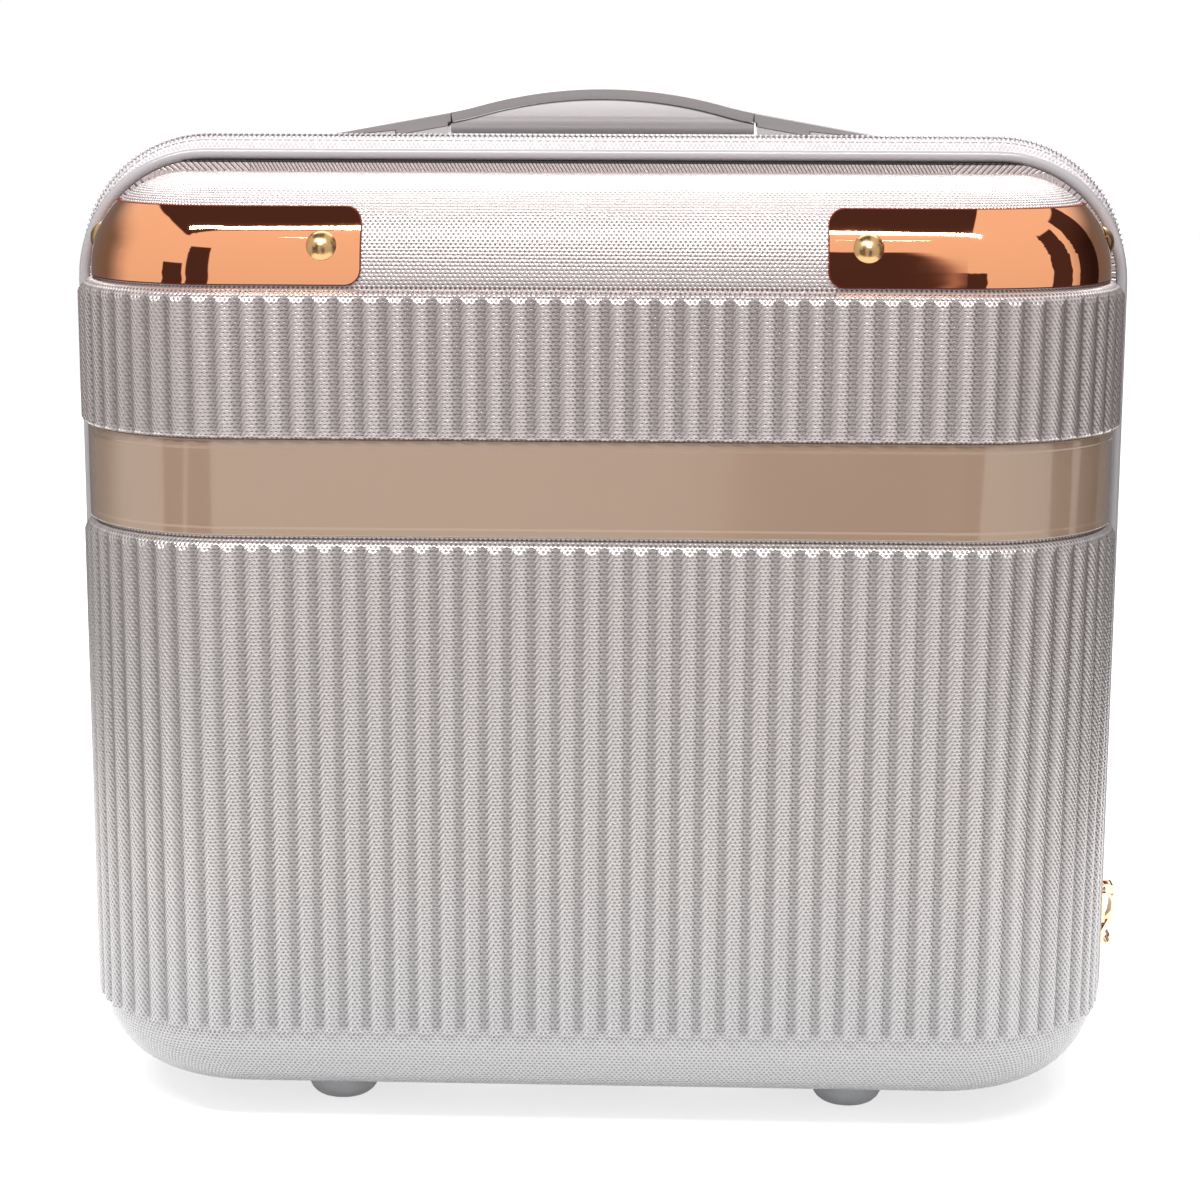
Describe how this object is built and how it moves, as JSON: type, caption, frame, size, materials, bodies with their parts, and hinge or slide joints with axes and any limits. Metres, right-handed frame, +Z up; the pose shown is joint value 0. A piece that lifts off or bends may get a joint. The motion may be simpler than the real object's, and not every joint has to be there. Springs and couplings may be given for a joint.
{
  "type": "hard shell suitcase",
  "caption": "Small reeded hard shell suitcase: two hinged moulded shells with a wrap-round zip, belt trim, corner plates, feet and a springy top handle.",
  "frame": {"origin": "on the floor under the middle of the closed case", "axes": "+X to the right of a person facing the front shell, +Y from the front shell to the back shell, +Z up; the lid is the shell at -Y"},
  "size_m": [0.3411, 0.175, 0.3264],
  "materials": {
    "shell": "metallic moulded plastic with a fine embossed twill",
    "belt": "glossy champagne trim",
    "copper": "mirror copper plating",
    "brass": "polished brass",
    "welt": "grey welt cord",
    "tape": "woven zip tape",
    "coil": "nylon coil",
    "lining": "woven lining",
    "pocket": "mesh and lining fabric",
    "elastic": "elastic webbing",
    "foot": "grey soft plastic",
    "steel": "plated steel",
    "rose": "rose gold plating",
    "mount": "glossy moulded plastic",
    "grip": "glossy moulded plastic",
    "strip": "matte soft plastic"
  },
  "bodies": {
    "case": {"back_shell": "shell", "back_piping": "welt", "back_zip_tape": "tape", "back_zip_coil": "coil", "back_lining": "lining", "packing_straps": "elastic", "back_feet": "foot", "back_foot_screws": "steel", "back_hinge_leaves": "steel", "back_hinge_rivets": "steel", "hinge_pins": "steel", "zip_stops": "rose", "handle_mount_left": "mount", "handle_mount_right": "mount", "handle_screws": "steel", "hinge_gusset": "lining"},
    "lid": {"front_shell": "shell", "belt_trim": "belt", "corner_plate_left": "copper", "corner_plate_right": "copper", "plate_rivets": "brass", "front_piping": "welt", "front_zip_tape": "tape", "front_zip_coil": "coil", "front_lining": "lining", "lid_pocket": "pocket", "front_feet": "foot", "front_foot_screws": "steel", "front_hinge_leaves": "steel", "front_hinge_rivets": "steel"},
    "handle": {"handle_grip": "grip", "handle_strip": "strip", "handle_tail_left": "strip", "handle_tail_right": "strip"},
    "slider": {"zip_slider": "rose"},
    "pull": {"zip_pull": "rose"}
  },
  "joints": [
    {"name": "lid_hinge", "type": "hinge", "parent": "case", "child": "lid", "pos_m": [0, -0.0175, 0.0055], "axis": [1, 0, 0], "range_deg": [0, 170], "deforming": ["hinge_gusset"]},
    {"name": "handle_lift", "type": "slide", "parent": "case", "child": "handle", "axis": [0, 0, 1], "range_m": [0, 0.008], "deforming": ["handle_tail_left", "handle_tail_right"]},
    {"name": "zip_run", "type": "slide", "parent": "case", "child": "slider", "axis": [0, 0, 1], "range_m": [0, 0.19]},
    {"name": "pull_swing", "type": "hinge", "parent": "slider", "child": "pull", "pos_m": [0.17085, -0.0175, 0.0655], "axis": [0, -1, 0], "range_deg": [0, 150]}
  ]
}
